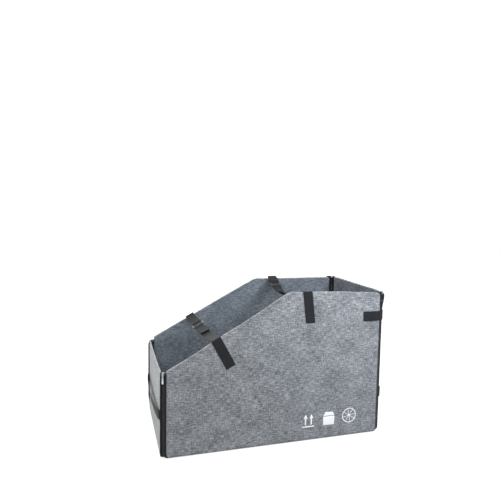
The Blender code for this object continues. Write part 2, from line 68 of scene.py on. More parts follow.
# The bag's sizes, as the frame has them
bag_length = 0.880
bag_width = 0.460
short_end_height = 0.314
tall_end_height = 0.575
apex_from_short_end = 0.478
corner_cut = 0.0205
half_length = bag_length / 2
half_width = bag_width / 2
side_end = half_length - corner_cut
end_side = half_width - corner_cut
slope_angle = math.atan2(tall_end_height - short_end_height, apex_from_short_end)
apex_x = apex_from_short_end - half_length

# The cloth
cloth_thickness = 1.1 * MM
lining_thickness = 0.7 * MM
gusset_thickness = 0.7 * MM
wall_depth = 6.4 * MM
seam_pinch = 5.0 * MM
bottom_bend = 12 * MM
bottom_turn = 14 * MM
bottom_corner = 20 * MM
hem_depth = 2.5 * MM
hem_bead = 0.25 * MM
hem_bead_half_pitch = 0.011
lining_top = 4.2 * MM
lining_foot = 8.2 * MM
lining_inset = 0.6 * MM
apex_rounding = 5 * MM
tall_rim_corner = 16 * MM
short_rim_corner = 4 * MM
end_rim_sag = 2.0 * MM
panel_step = 6 * MM
base_step = 10 * MM
board_split_height = 0.355
board_step = 0.0213
gusset_inset = 2.6 * MM
gusset_wing = 26 * MM
gusset_corner = 13 * MM

# Thread
stitch_size = (2.4 * MM, 0.55 * MM, 0.55 * MM)
thread_lift = 0.12 * MM
box_pitch = 3.2 * MM
seam_pitch = 3.6 * MM
seam_from_rim = 7 * MM
seam_from_side = 5.6 * MM

# Webbing, the cross straps and their adjusters
webbing_width = 0.038
webbing_thickness = 0.0016
clearance = 0.0003
webbing_lift = clearance + webbing_thickness / 2
strap_tab_length = 0.118
tall_strap_tab_slant = 0.013
far_rim_slack = 0.008
far_rim_radius = 0.0034
strap_pull_share = 0.38
strap_rim_angle = math.radians(12)
tail_length = 0.112
tail_end_lift = 5 * MM
hem_gap = 2.0 * MM
far_return_length = 0.034
run_parting = 0.0022
run_closing = 0.016
rim_landing = 0.003
frame_wall = 0.0061
adjuster_bar = 0.0050
adjuster_slot = 0.0078
adjuster_thickness = 0.0036
bar_play = 0.0006
bar_loop_radius = 1.8 * MM
adjuster_half = 1.5 * adjuster_bar + adjuster_slot
bar_out = adjuster_thickness / 2 + bar_play + webbing_thickness / 2
bar_side = adjuster_bar / 2 + bar_play + webbing_thickness / 2
bar_centre = adjuster_half - adjuster_bar / 2

# Handles and the closing strap
handle_height = 0.158
handle_droop = 5 * MM
handle_inset = 0.8 * MM
handle_seam_inset = 3.2 * MM
closing_height = tall_end_height - 0.0945
closing_tab_length = 0.073
closing_corner_radius = 24 * MM
closing_landing = side_end - 6 * MM
patch_thickness = 0.8 * MM
patch_height = 32 * MM

# Zips
zip_head_drop = 0.001
zip_foot = 2.6 * MM
tape_thickness = 0.6 * MM
tape_level = -1.6 * MM
coil_foot = 13 * MM
coil_pitch = 2.0 * MM
coil_turn = (3.3 * MM, 1.7 * MM, 2.4 * MM)
coil_from_middle = 1.25 * MM
coil_level = -0.9 * MM

# The print
print_lift = 0.24 * MM
ink_thickness = 0.16 * MM

CORNERS = {"near_short": (-1, -1), "far_short": (-1, 1), "near_tall": (1, -1), "far_tall": (1, 1)}


# Materials

def colour(code):
    """An sRGB hex value as the linear colour that a shader wants."""
    parts = [int(code[place:place + 2], 16) / 255 for place in (1, 3, 5)]
    return (*[(p / 12.92) if p <= 0.04045 else ((p + 0.055) / 1.055) ** 2.4 for p in parts], 1)


def add_node(tree, kind, settings=None, links=None):
    """Adds a node, sets its properties and unlinked inputs, and links inputs to the outputs given."""
    node = tree.nodes.new(kind)
    for name, value in (settings or {}).items():
        if name in node.bl_rna.properties:
            setattr(node, name, value)
        else:
            node.inputs[name].default_value = value
    for name, output in (links or {}).items():
        tree.links.new(output, node.inputs[name])
    return node


def math_node(tree, operation, first, second):
    node = tree.nodes.new("ShaderNodeMath")
    node.operation = operation
    for socket, value in zip(node.inputs, (first, second)):
        if isinstance(value, (int, float)):
            socket.default_value = value
        else:
            tree.links.new(value, socket)
    return node.outputs[0]


def new_material(name, roughness, **sockets):
    made = bpy.data.materials.new(name)
    made.use_nodes = True
    shader = made.node_tree.nodes["Principled BSDF"]
    shader.inputs["Roughness"].default_value = roughness
    for socket, value in sockets.items():
        shader.inputs[socket.replace("_", " ")].default_value = value
    return made, made.node_tree, shader


def finish_shader(tree, shader, factor, stops, height, strength, depth):
    """Tones over a factor, from stops of a place and a colour, and a bump over a height."""
    tones = add_node(tree, "ShaderNodeValToRGB", links={"Fac": factor})
    elements = tones.color_ramp.elements
    while len(elements) < len(stops):
        elements.new(0.5)
    for element, (place, code) in zip(elements, stops):
        element.position = place
        element.color = colour(code)
    tree.links.new(tones.outputs["Color"], shader.inputs["Base Color"])
    bump = add_node(tree, "ShaderNodeBump", {"Strength": strength, "Distance": depth}, {"Height": height})
    tree.links.new(bump.outputs["Normal"], shader.inputs["Normal"])


def cloth_axes(tree, across_scale, along_scale):
    """The piece's own cloth coordinates, in metres of flat cloth, stretched by the two scales."""
    uv = add_node(tree, "ShaderNodeUVMap", {"uv_map": "cloth"})
    mapping = add_node(tree, "ShaderNodeMapping", links={"Vector": uv.outputs["UV"]})
    mapping.inputs["Scale"].default_value = (across_scale, along_scale, 1)
    return mapping.outputs["Vector"]


def cloth_noise(tree, across_scale, along_scale, detail=3.0, roughness=0.5):
    axes = cloth_axes(tree, across_scale, along_scale)
    settings = {"Scale": 1.0, "Detail": detail, "Roughness": roughness}
    return add_node(tree, "ShaderNodeTexNoise", settings, {"Vector": axes}).outputs["Fac"]


def cloth_bands(tree, direction, scale):
    """Even bands that follow each other across the cloth, for X, or along it, for Y."""
    axes = cloth_axes(tree, scale, 0) if direction == "X" else cloth_axes(tree, 0, scale)
    settings = {"Scale": 1.0, "bands_direction": direction, "Distortion": 0.0}
    return add_node(tree, "ShaderNodeTexWave", settings, {"Vector": axes}).outputs["Fac"]


def plain_weave(tree, pitch_mm, unevenness):
    """Height of a plain weave: threads in both directions, each high where the other is low."""
    scale = 1000 / pitch_mm / 2 / 3.1416
    weave = math_node(tree, "MULTIPLY", cloth_bands(tree, "X", scale), cloth_bands(tree, "Y", scale))
    return math_node(tree, "ADD", weave, unevenness)


def melange_cloth(name, dark, middle, light, sheen):
    """Woven polyester of two-tone yarn. Dark and light filaments show as streaks along both yarns, over a
    fine grain. A real streak is 5 to 15 mm long and one yarn of 0.5 mm thick; it is drawn 2 to 4 mm thick,
    and the weave at 1.3 mm, so that both show at this distance."""
    made, tree, shader = new_material(name, 0.9, Sheen_Weight=sheen, Sheen_Roughness=0.55,
                                      Specular_IOR_Level=0.2)
    weft = math_node(tree, "MULTIPLY", cloth_noise(tree, 48, 330, roughness=0.6), 0.50)
    warp = math_node(tree, "MULTIPLY", cloth_noise(tree, 320, 58, roughness=0.6), 0.34)
    blotch = math_node(tree, "MULTIPLY", cloth_noise(tree, 11, 15), 0.16)
    mixed = math_node(tree, "ADD", math_node(tree, "ADD", weft, warp), blotch)
    stops = [(0.40, dark), (0.49, middle), (0.59, light)]
    finish_shader(tree, shader, mixed, stops, plain_weave(tree, 1.3, mixed), 0.5, 0.00022)
    return made


def plain_cloth(name, dark, light, pitch_mm, roughness=0.9):
    """One-tone woven polyester: even, with only a slight unevenness of the yarn."""
    made, tree, shader = new_material(name, roughness, Sheen_Weight=0.06, Sheen_Roughness=0.5,
                                      Specular_IOR_Level=0.25)
    yarn = cloth_noise(tree, 160, 420)
    weave = plain_weave(tree, pitch_mm, yarn)
    finish_shader(tree, shader, yarn, [(0.3, dark), (0.7, light)], weave, 0.5, 0.0002)
    return made


def webbing_cloth(name, dark, light):
    """Woven polypropylene webbing: ribs across its width every 1.6 mm, worn a little paler on the ribs."""
    made, tree, shader = new_material(name, 0.7, Sheen_Weight=0.03, Specular_IOR_Level=0.18)
    scale = 1000 / 1.6 / 3.1416 / 2
    cords = math_node(tree, "MULTIPLY", cloth_bands(tree, "X", scale / 1.5), 0.4)
    woven = math_node(tree, "MULTIPLY", cloth_bands(tree, "Y", scale), math_node(tree, "ADD", cords, 0.6))
    fuzz = math_node(tree, "MULTIPLY", cloth_noise(tree, 700, 260, detail=2.0), 0.35)
    height = math_node(tree, "ADD", woven, fuzz)
    finish_shader(tree, shader, height, [(0.1, dark), (0.95, light)], height, 0.6, 0.0003)
    return made


def grained(name, base, worn, roughness, grain_mm, depth, **sockets):
    """A smooth moulded, cast or coated finish with a fine grain, and a tone that varies a little over it."""
    made, tree, shader = new_material(name, roughness, **sockets)
    place = add_node(tree, "ShaderNodeTexCoord").outputs["Object"]
    settings = {"Scale": 1000 / grain_mm, "Detail": 3.0}
    grain = add_node(tree, "ShaderNodeTexNoise", settings, {"Vector": place}).outputs["Fac"]
    finish_shader(tree, shader, grain, [(0.35, base), (0.75, worn)], grain, 0.4, depth)
    return made


# Melange polyester oxford of the long walls, seen from outside
OUTER_CLOTH = melange_cloth("melange_oxford", "#53575A", "#787B7E", "#A6A9AC", 0.2)
# The same cloth on the two ends and the base, made paler with painted light that stands in for the light on
# the end panels
PAINTED_LIGHT_END_CLOTH = melange_cloth("end_oxford_painted_light", "#65696B", "#85888A", "#AEB0B2", 0.2)
# The same cloth as a lining, in a bluer grey, darkened with painted shade for the shade inside the bag
PAINTED_SHADE_LINING_CLOTH = melange_cloth("lining_oxford_painted_shade", "#41464C", "#5B6269", "#7C838A", 0.12)
# Polypropylene webbing, dyed black and calendered
WEBBING = webbing_cloth("polypropylene_webbing", "#0C0D0E", "#202224")
# Woven polyester zip tape, dyed black
TAPE_CLOTH = plain_cloth("zip_tape_cloth", "#0B0C0D", "#17181B", 0.9)
# Brushed nylon loop pile of the patches under the closing strap
LOOP_PILE = plain_cloth("loop_pile", "#151617", "#2C2D2F", 2.2, 0.97)
# Nylon coil of the zips, extruded and dyed
NYLON_COIL = grained("nylon_coil", "#111213", "#242528", 0.4, 0.8, 0.00004)
# Acetal adjuster, moulded in a lightly eroded tool
ACETAL = grained("moulded_acetal", "#333437", "#47494C", 0.24, 0.7, 0.00004)
# Zinc sliders and pullers, die-cast and nickel plated
NICKEL = grained("nickel_plated_zinc", "#B2B4B6", "#C8CACC", 0.32, 1.6, 0.00002, Metallic=1.0)
# Bonded polyester thread of the seams, in grey and in black
GREY_THREAD = grained("grey_thread", "#5B6067", "#9AA0A6", 0.6, 0.5, 0.00005)
BLACK_THREAD = grained("black_thread", "#151617", "#303236", 0.6, 0.5, 0.00005)
# Screen-printed white ink, slightly broken by the weave under it
WHITE_INK = grained("screen_print_ink", "#F1F2F2", "#FAFAFA", 0.6, 1.2, 0.00006)
# Polypropylene stiffener board, extruded
BOARD = grained("stiffener_board", "#6F675A", "#857C6D", 0.6, 3.0, 0.0001)


# Ways to make pieces

def add_object(name, data):
    thing = bpy.data.objects.new(name, data)
    bpy.context.scene.collection.objects.link(thing)
    return thing


def finish_with(piece, material):
    piece.data.materials.clear()
    piece.data.materials.append(material)


def declare(piece, material, body=None, node=None):
    """Gives a piece its material, hides the frame's piece that it stands for, and attaches it to its body."""
    finish_with(piece, material)
    if node:
        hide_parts(node)
    if body:
        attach(piece, body)


def active_only(piece):
    for other in bpy.context.selected_objects:
        other.select_set(False)
    piece.select_set(True)
    bpy.context.view_layer.objects.active = piece


def apply_modifiers(piece):
    active_only(piece)
    for step in list(piece.modifiers):
        bpy.ops.object.modifier_apply(modifier=step.name)


def face_towards(piece, outward):
    """Turns an open sheet's faces so that their sum points the given way."""
    total = Vector()
    for polygon in piece.data.polygons:
        total += polygon.normal * polygon.area
    if total.dot(outward) < 0:
        piece.data.flip_normals()


def thicken(piece, thickness, offset, levels=0):
    """Gives a sheet its thickness, and rounds it. offset is -1 behind its faces, 0 both ways."""
    step = piece.modifiers.new("thickness", "SOLIDIFY")
    step.thickness = thickness
    step.offset = offset
    step.use_even_offset = True
    if levels:
        smooth = piece.modifiers.new("rounding", "SUBSURF")
        smooth.levels = levels
        smooth.render_levels = levels
    apply_modifiers(piece)
    piece.data.shade_smooth()


def cloth_piece(name, columns, rows, place, outward, thickness, offset=-1, levels=0):
    """A sheet of cloth. place takes a column and a row, and gives a point and its place on the flat cloth."""
    bpy.ops.mesh.primitive_grid_add(x_subdivisions=columns - 1, y_subdivisions=rows - 1, size=2)
    piece = bpy.context.object
    piece.name = name
    piece.data.name = name
    flat = []
    for vertex in piece.data.vertices:
        column = round((vertex.co.x + 1) / 2 * (columns - 1))
        row = round((vertex.co.y + 1) / 2 * (rows - 1))
        point, across, along = place(column, row)
        vertex.co = point
        flat.append((across, along))
    for layer in list(piece.data.uv_layers):
        piece.data.uv_layers.remove(layer)
    layer = piece.data.uv_layers.new(name="cloth")
    for loop in piece.data.loops:
        layer.data[loop.index].uv = flat[loop.vertex_index]
    if outward:
        face_towards(piece, outward)
    thicken(piece, thickness, offset, levels)
    return piece


# Shapes and paths

def smooth_step(low, high, value):
    t = max(0.0, min(1.0, (value - low) / (high - low)))
    return t * t * (3 - 2 * t)


def hump(centre, reach, value):
    return math.exp(-((value - centre) / reach) ** 2)


def wave(place, half_period, height):
    return math.sin(place / half_period * math.pi) * height


def swells(x, y, z, smoothness=0.8, octaves=3):
    """Soft unevenness of cloth over a board."""
    return noise.fractal(Vector((x, y, z)), smoothness, 2.1, octaves)


def ripples(x, y, z):
    """Fine unevenness of cloth."""
    return noise.fractal(Vector((x, y, z)), 0.9, 2.0, 2)


def between(table, place):
    """The table's value at a place, smoothly from one entry to the next."""
    if place <= table[0][0]:
        return table[0][1]
    for (low, first), (high, second) in zip(table, table[1:]):
        if place <= high:
            return first + (second - first) * smooth_step(low, high, place)
    return table[-1][1]


def cut_in(radius, from_edge):
    """How far a rounded corner is cut in, at a distance from the edge beside it."""
    return radius - math.sqrt(max(0.0, radius ** 2 - max(0.0, radius - from_edge) ** 2))


def spaced(low, high, step, dense=True):
    """Places from low to high, closer together at both ends."""
    ends = [0, 0.4 * MM, 1.0 * MM, 2.0 * MM, 3.4 * MM, 5.2 * MM] if dense else [0]
    inner_low = low + ends[-1]
    inner_high = high - ends[-1]
    count = max(2, round((inner_high - inner_low) / step))
    middle = [inner_low + (inner_high - inner_low) * i / count for i in range(count + 1)]
    return [low + e for e in ends[:-1]] + middle + [high - e for e in reversed(ends[:-1])]


def distances(points):
    """How far along a path each of its points lies."""
    travelled = [0.0]
    for first, second in zip(points, points[1:]):
        travelled.append(travelled[-1] + (second - first).length)
    return travelled


def resampled(points, step):
    """The same path, with points about a step apart."""
    result = [points[0]]
    for first, second in zip(points, points[1:]):
        count = max(1, round((second - first).length / step))
        result += [first.lerp(second, i / count) for i in range(1, count + 1)]
    return result


def rounded(points, radius, steps=5):
    """The path through the points, with an arc of the radius at each inner corner."""
    path = [points[0]]
    for before, corner, after in zip(points, points[1:], points[2:]):
        towards_before = (before - corner).normalized()
        towards_after = (after - corner).normalized()
        half_turn = towards_before.angle(towards_after) / 2
        reach = radius / math.tan(half_turn)
        centre = corner + (towards_before + towards_after).normalized() * radius / math.sin(half_turn)
        start = corner + towards_before * reach - centre
        finish = corner + towards_after * reach - centre
        path += [centre + start.slerp(finish, step / steps) * radius for step in range(steps + 1)]
    return path + [points[-1]]


def bezier(points, steps):
    a, b, c, d = points
    path = []
    for step in range(steps + 1):
        t = step / steps
        path.append(a * (1 - t) ** 3 + b * 3 * t * (1 - t) ** 2 + c * 3 * t * t * (1 - t) + d * t ** 3)
    return path


# The four walls

# How far the near wall's rim stands above the pattern's straight line, and the far wall's below it, at places
# along the bag. The cloth stands up at the apex, where the strap doesn't hold it down
near_lift = [(-0.420, -3.5), (-0.372, -3.5), (-0.300, -2.5), (-0.258, 1.0), (-0.221, 3.0), (-0.155, 3.3),
             (-0.080, 6.0), (-0.003, 12.5), (0.036, 14.0), (0.060, 12.5), (0.090, 10.2), (0.117, 9.3),
             (0.158, 9.6), (0.240, 7.0), (0.330, 2.0), (0.395, -2.5), (0.420, -3.0)]
far_lift = [(-0.420, 1.0), (-0.300, 0.5), (-0.215, -1.0), (-0.120, -1.0), (-0.030, -2.0), (0.050, -2.5),
            (0.160, -4.0), (0.270, -5.5), (0.420, -5.5)]


def side_rim(lift):
    """The height of a long wall's rim at each place along it."""
    def rim(s):
        slope = short_end_height + (s + half_length) * math.tan(slope_angle)
        gap = slope - tall_end_height
        straight = (slope + tall_end_height - math.sqrt(gap * gap + apex_rounding ** 2)) / 2
        corner = cut_in(tall_rim_corner, side_end - s) + cut_in(short_rim_corner, side_end + s)
        return straight + between(lift, s) * MM - corner
    return rim


def level_rim(height, corner_drop):
    """The height of an end wall's rim, which hangs a little between its corners."""
    def rim(s):
        sag = end_rim_sag * (1 - (s / end_side) ** 2)
        return height - sag - corner_drop * hump(end_side, 0.03, abs(s))
    return rim


near_rim = side_rim(near_lift)
far_rim = side_rim(far_lift)


def stand_off(height):
    """A relief in mm, as metres, kept from going so deep that the board would show."""
    return ((height + math.sqrt(height * height + 0.6)) / 2 - 0.25) * MM


def near_relief(s, z):
    """How far the near wall's cloth stands off its board: rows of folds, each in its own part of the wall, a
    pull under each strap tab, and unevenness, all in mm. The cloth lies quieter round the print."""
    below = near_rim(s) - z
    folds = wave(s + 0.25 * below, 0.050, 2.9)
    folds *= smooth_step(0.12, 0.18, s) * smooth_step(0.43, 0.40, s) * smooth_step(0.17, 0.02, below)
    slanted = wave(s * 0.5 + z * 0.87, 0.023, 3.3) * hump(0.355, 0.06, s) * hump(0.525, 0.04, z)
    slanted += wave(s * 0.3 - z * 0.95, 0.05, 0.9) * hump(0.30, 0.12, s) * hump(0.40, 0.06, z)
    apex = wave(s + below * 0.6, 0.034, 2.0) * hump(0.045, 0.05, s) * smooth_step(0.13, 0.03, below)
    pull = 2.8 * hump(-0.19, 0.04, s) * hump(0.285, 0.045, z)
    pull += 2.6 * hump(0.12, 0.04, s) * hump(0.435, 0.045, z)
    pull -= 1.0 * hump(-0.24, 0.025, s - 0.4 * (z - 0.4)) * smooth_step(0.12, 0.02, below)
    uneven = swells(s * 7, z * 6, 3.1, 1.0, 2) * 2.2 + ripples(s * 28, z * 22, 9.4) * 0.12
    quiet = 1 - 0.8 * smooth_step(0.04, 0.09, s) * smooth_step(0.37, 0.345, s) * smooth_step(0.15, 0.125, z)
    return stand_off((folds + slanted + apex + pull + uneven) * quiet)


def far_relief(s, z):
    folds = wave(s, 0.055, 1.0) * smooth_step(0.16, 0.02, far_rim(s) - z)
    return stand_off(swells(s * 7, z * 7, 17.3) * 1.6 + ripples(s * 26, z * 24, 5.4) * 0.25 + folds)


def end_relief(seed):
    def relief(s, z):
        uneven = swells(s * 8, z * 7, seed) * 1.5 + ripples(s * 26, z * 24, seed * 3) * 0.22
        return stand_off(uneven + 0.4)
    return relief


class Wall:
    """A wall. Places on it are given by s, the distance along it from its middle, z, the height, and d, the
    distance outward from its plane."""

    def __init__(self, name, out, rim, relief, bow, rim_bow, rows_up=84):
        self.name = name
        self.out = out
        self.rim = rim
        self.relief = relief
        self.bow = bow
        self.rim_bow = rim_bow
        self.rows_up = rows_up
        self.is_long = out.x == 0
        self.along = Vector((1, 0, 0)) if self.is_long else Vector((0, 1, 0))
        self.plane = half_width if self.is_long else half_length
        self.half = side_end if self.is_long else end_side
        self.body = name + "_wall" if self.is_long else name
        self.board = name + ("_board_lower" if self.is_long else "_board")
        # The end walls take the cloth made paler with painted light
        self.cloth = OUTER_CLOTH if self.is_long else PAINTED_LIGHT_END_CLOTH
        self.slot = "melange_fabric" if self.is_long else "end_panel_fabric"

    def bowed(self, s, z):
        """How far the panel bows outward as a whole. It stays in line at its seams and at its foot."""
        across = max(0.0, 1 - (s / self.half) ** 2)
        up = max(0.0, min(1.0, z / self.rim(s)))
        return across * (self.bow * math.sin(math.pi * up) + self.rim_bow * up * up)

    def point(self, s, z, d):
        return self.along * s + UP * z + self.out * (self.plane + d + self.bowed(s, z))

    def settled(self, s, z):
        """The relief, faded out at the wall's seams and at its foot."""
        edge = smooth_step(0.0, 0.03, self.half - abs(s)) * smooth_step(0.0, 0.03, z)
        lip = 0.35 + 0.65 * smooth_step(0.0, 0.012, self.rim(s) - z)
        return self.relief(s, z) * edge * lip

    def on_cloth(self, s, z, lift, share=1.0):
        """A point that stands off a share of the relief by the lift."""
        return self.point(s, z, self.settled(s, z) * share + lift)

    def over(self, point, lift):
        """The point, moved to lie the given distance off the cloth."""
        s = point.dot(self.along)
        return self.on_cloth(s, point.z, lift, 1.0 if point.z < self.rim(s) else 0.0)

    def drawn_in(self, s, z):
        """The place along the wall, moved in where its bottom corners are rounded."""
        inset = cut_in(bottom_corner, z) * smooth_step(self.half - 0.07, self.half, abs(s))
        return s - math.copysign(inset, s)

    def pinch(self, s):
        """Share of the wall's depth that is left towards its side seams."""
        edge = (self.half - abs(s)) / seam_pinch
        return 1.0 if edge >= 1 else max(0.14, math.sqrt(max(0.0, 1 - (1 - edge) ** 2)))


WALLS = {
    "near": Wall("near", Vector((0, -1, 0)), near_rim, near_relief, 5 * MM, 0.0),
    "far": Wall("far", Vector((0, 1, 0)), far_rim, far_relief, 4 * MM, 0.0),
    "short": Wall("short_end", Vector((-1, 0, 0)), level_rim(short_end_height, 2.0 * MM), end_relief(4.7),
                  2 * MM, 2 * MM, rows_up=50),
    "tall": Wall("tall_end", Vector((1, 0, 0)), level_rim(tall_end_height, 3.0 * MM), end_relief(11.2),
                 2.5 * MM, 2 * MM),
}


def skin_row(wall, s, kind, t):
    """Height, distance outward and flat length of a row of a wall's skin."""
    fold = wall_depth / 2
    top = wall.rim(s) - fold
    if kind == "under":
        return 0.0, -bottom_turn + (bottom_turn - bottom_bend) * t, -bottom_turn * (1 - t)
    if kind == "foot":
        angle = t * math.pi / 2
        z = bottom_bend * (1 - math.cos(angle))
        return z, bottom_bend * (math.sin(angle) - 1), z
    if kind == "face":
        z = bottom_bend + (top - bottom_bend) * t
        return z, wall.settled(s, z), z
    if kind == "rim":
        angle = t * math.pi
        swell = wall.settled(s, top) * (1 - t)
        return top + fold * math.sin(angle), -fold + fold * math.cos(angle) + swell, top + fold * angle
    bead = wave(s, hem_bead_half_pitch, hem_bead) * t
    return top - hem_depth * t, -wall_depth - bead, top + fold * math.pi + hem_depth * t


def make_skin(wall):
    """A wall's outer cloth, from under the base, up the wall, over the rim and down its inside."""
    columns = spaced(-wall.half, wall.half, panel_step)
    rows = [("under", t) for t in (0.0, 0.5)]
    rows += [("foot", t / 8) for t in range(9)]
    rows += [("face", t / wall.rows_up) for t in range(1, wall.rows_up)]
    rows += [("rim", t / 6) for t in range(7)]
    rows += [("hem", t / 4) for t in range(1, 5)]
    middle = -wall_depth / 2

    def place(column, row):
        s = columns[column]
        kind, t = rows[row]
        z, d, along = skin_row(wall, s, kind, t)
        share = wall.pinch(s)
        if kind in ("under", "foot"):
            share = 1 - (1 - share) * smooth_step(0, bottom_bend, z)
        return wall.point(wall.drawn_in(s, z), z, middle + (d - middle) * share), s, along

    skin = cloth_piece(wall.name + "_wall_skin", len(columns), len(rows), place, wall.out, cloth_thickness)
    declare(skin, wall.cloth, node=wall.name + "_outer")
    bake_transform(skin)
    declare_panel(wall)


def declare_panel(wall):
    """Works out a wall's rim heights across its width; nothing uses them."""
    width = 2 * wall.half
    steps = 60
    heights = [wall.rim(-wall.half + width * (i + 0.5) / steps) for i in range(steps)]


def make_lining(wall):
    columns = spaced(-wall.half + lining_inset, wall.half - lining_inset, panel_step)
    count = wall.rows_up - 4
    middle = -wall_depth / 2

    def place(column, row):
        s = columns[column]
        rim = wall.rim(s)
        z = lining_foot + (rim - lining_top - lining_foot) * (row / (count - 1))
        below_hem = smooth_step(16 * MM, 6 * MM, rim - z)
        swell = 0.45 + 0.5 * swells(s * 11, z * 10, wall.plane * 7) + 0.16 * ripples(s * 30, z * 26, 2.2)
        swell = max(0.0, swell) * (1 - below_hem)
        crease = hump(board_split_height, 3.0 * MM, z) * (1 - below_hem) if wall.is_long else 0.0
        d = -wall_depth + 1.15 * MM - (swell * (1 - crease) - 0.6 * crease) * MM
        cove = smooth_step(0.018, 0.0, z - lining_foot) * 1.6 * MM
        share = max(0.14, wall.pinch(min(wall.half, abs(s) + lining_inset)))
        return wall.point(wall.drawn_in(s, z), z, middle + (d - cove - middle) * share), s, z

    lining = cloth_piece(wall.name + "_wall_lining", len(columns), count, place, -wall.out, lining_thickness)
    # The lining's darker colour is painted shade
    declare(lining, PAINTED_SHADE_LINING_CLOTH, wall.body, wall.name + "_lining")
    declare_panel(wall)


def make_base_cloth(name, inset, height, thickness, cloth, node, way):
    """One cloth of the base: the one under the bag, which looks down, or the lining over the board."""
    reach_x = half_length - inset
    reach_y = half_width - inset
    across = spaced(-reach_x, reach_x, base_step)
    along = spaced(-reach_y, reach_y, base_step)
    cut = corner_cut - inset * 0.4

    def place(column, row):
        x = across[column]
        y = along[row] * min(1.0, (reach_x + reach_y - cut - abs(x)) / reach_y)
        rise = 0.0
        if way > 0:
            fade = smooth_step(0, 0.04, reach_x - abs(x)) * smooth_step(0, 0.04, reach_y - abs(y))
            rise = 0.7 * MM * (0.5 + swells(x * 10, y * 10, 1.7)) * fade
        return Vector((x, y, height + rise)), x, y

    sheet = cloth_piece(name, len(across), len(along), place, UP * way, thickness)
    declare(sheet, cloth, "base", node)


def make_corner_gusset(corner):
    """The base's cloth, turned up behind the long wall, the zip and the end wall at a corner. Its path
    runs from the long wall, round the cut corner, to the end wall."""
    end, side = CORNERS[corner]
    side_y = side * (half_width - gusset_inset)
    end_x = end * (half_length - gusset_inset)
    sharp = [Vector((end * (side_end - gusset_wing), side_y, 0)),
             Vector((end * (side_end - gusset_inset * 0.41), side_y, 0)),
             Vector((end_x, side * (end_side - gusset_inset * 0.41), 0)),
             Vector((end_x, side * (end_side - gusset_wing), 0))]
    path = resampled(rounded(sharp, gusset_corner, 4), 3 * MM)
    inward = []
    for index in range(len(path)):
        ahead = (path[min(index + 1, len(path) - 1)] - path[max(index - 1, 0)]).normalized()
        normal = Vector((-ahead.y, ahead.x, 0))
        inward.append(normal if normal.dot(Vector((end, side, 0))) < 0 else -normal)
    lift = 0.7 * MM
    section = [(lift, 12.6 * MM)]
    for angle in [step * math.pi / 16 for step in range(6)]:
        section.append((lift + bottom_bend * (1 - math.cos(angle)), bottom_bend * (1 - math.sin(angle))))
    section += [(7.0 * MM, 1.6 * MM), (7.3 * MM, 2.4 * MM), (6.6 * MM, 3.0 * MM)]
    along = distances(path)
    up = distances([Vector(place) for place in section])

    def place(column, row):
        z, inset = section[row]
        return path[column] + inward[column] * inset + UP * z, along[column], up[row]

    outward = Vector((end, side, -1))
    gusset = cloth_piece("base_gusset_" + corner, len(path), len(section), place, outward, gusset_thickness)
    # The gusset takes the end cloth, made paler with painted light
    declare(gusset, PAINTED_LIGHT_END_CLOTH, "base")


# Thread, and copies of the frame's pieces

def thread_stitch():
    """One stitch, 1 unit long and 1 unit wide, rounded at its ends."""
    bpy.ops.mesh.primitive_cylinder_add(vertices=6, radius=0.5, depth=1, rotation=(0, math.pi / 2, 0))
    piece = bpy.context.object
    bpy.ops.object.transform_apply(location=True, rotation=True, scale=True)
    for vertex in piece.data.vertices:
        vertex.co.z *= 0.55
    bpy.ops.object.mode_set(mode="EDIT")
    bpy.ops.mesh.select_all(action="SELECT")
    bpy.ops.mesh.subdivide(number_cuts=1)
    bpy.ops.object.mode_set(mode="OBJECT")
    for vertex in piece.data.vertices:
        if abs(vertex.co.x) > 0.45:
            vertex.co.y *= 0.55
            vertex.co.z = vertex.co.z * 0.55 - 0.16
    mesh = piece.data
    bpy.data.objects.remove(piece)
    return mesh


STITCH = thread_stitch()


def lying(centre, along, across, size):
    """The matrix that lays a stitch down at a centre, with its size along, across and above."""
    axes = Matrix((along, across, along.cross(across))).transposed().to_4x4()
    return Matrix.Translation(centre) @ axes @ Matrix.Diagonal((*size, 1))


def stitches(name, places, material, body):
    """Many stitches in one piece, each laid down by its own matrix."""
    work = bmesh.new()
    for place in places:
        start = len(work.verts)
        work.from_mesh(STITCH)
        work.verts.ensure_lookup_table()
        bmesh.ops.transform(work, matrix=place, verts=work.verts[start:])
    bmesh.ops.recalc_face_normals(work, faces=work.faces)
    mesh = bpy.data.meshes.new(name)
    work.to_mesh(mesh)
    work.free()
    mesh.shade_smooth()
    declare(add_object(name, mesh), material, body)


def stitch_lines(name, lines, outward, body, thread=BLACK_THREAD):
    """Stitches along lines of points, each lying between two neighbouring points."""
    places = []
    for line in lines:
        for first, second in zip(line, line[1:]):
            along = (second - first).normalized()
            across = outward.cross(along).normalized()
            places.append(lying((first + second) / 2, along, across, stitch_size))
    stitches(name, places, thread, body)


def boxed_cross(corners):
    """The lines of a boxed cross between four corners, with a point for each stitch's end."""
    a, b, c, d = corners
    return [resampled(line, box_pitch) for line in ([a, b, c, d, a], [a, c], [b, d])]


def make_seams(wall):
    """Thread along the rim, inside and out, and down both side seams."""
    reach = wall.half - 14 * MM
    count = int(2 * reach / seam_pitch)
    places = [-reach + 2 * reach * i / count for i in range(count + 1)]
    outer = [wall.on_cloth(s, wall.rim(s) - seam_from_rim, thread_lift) for s in places]
    inner = [wall.point(s, wall.rim(s) - wall_depth / 2 - hem_depth + 1.2 * MM, -wall_depth - 0.25 * MM)
             for s in places]
    sides = []
    for s in (seam_from_side - wall.half, wall.half - seam_from_side):
        rim = wall.rim(s)
        steps = int((rim - 40 * MM) / seam_pitch)
        sides.append([wall.on_cloth(s, 26 * MM + (rim - 38 * MM) * i / steps, thread_lift)
                      for i in range(steps + 1)])
    seams = {"rim": ([outer], wall.out), "hem": ([inner], -wall.out), "side": (sides, wall.out)}
    for kind, (lines, outward) in seams.items():
        stitch_lines("%s_%s_thread" % (wall.name, kind), lines, outward, wall.body, GREY_THREAD)


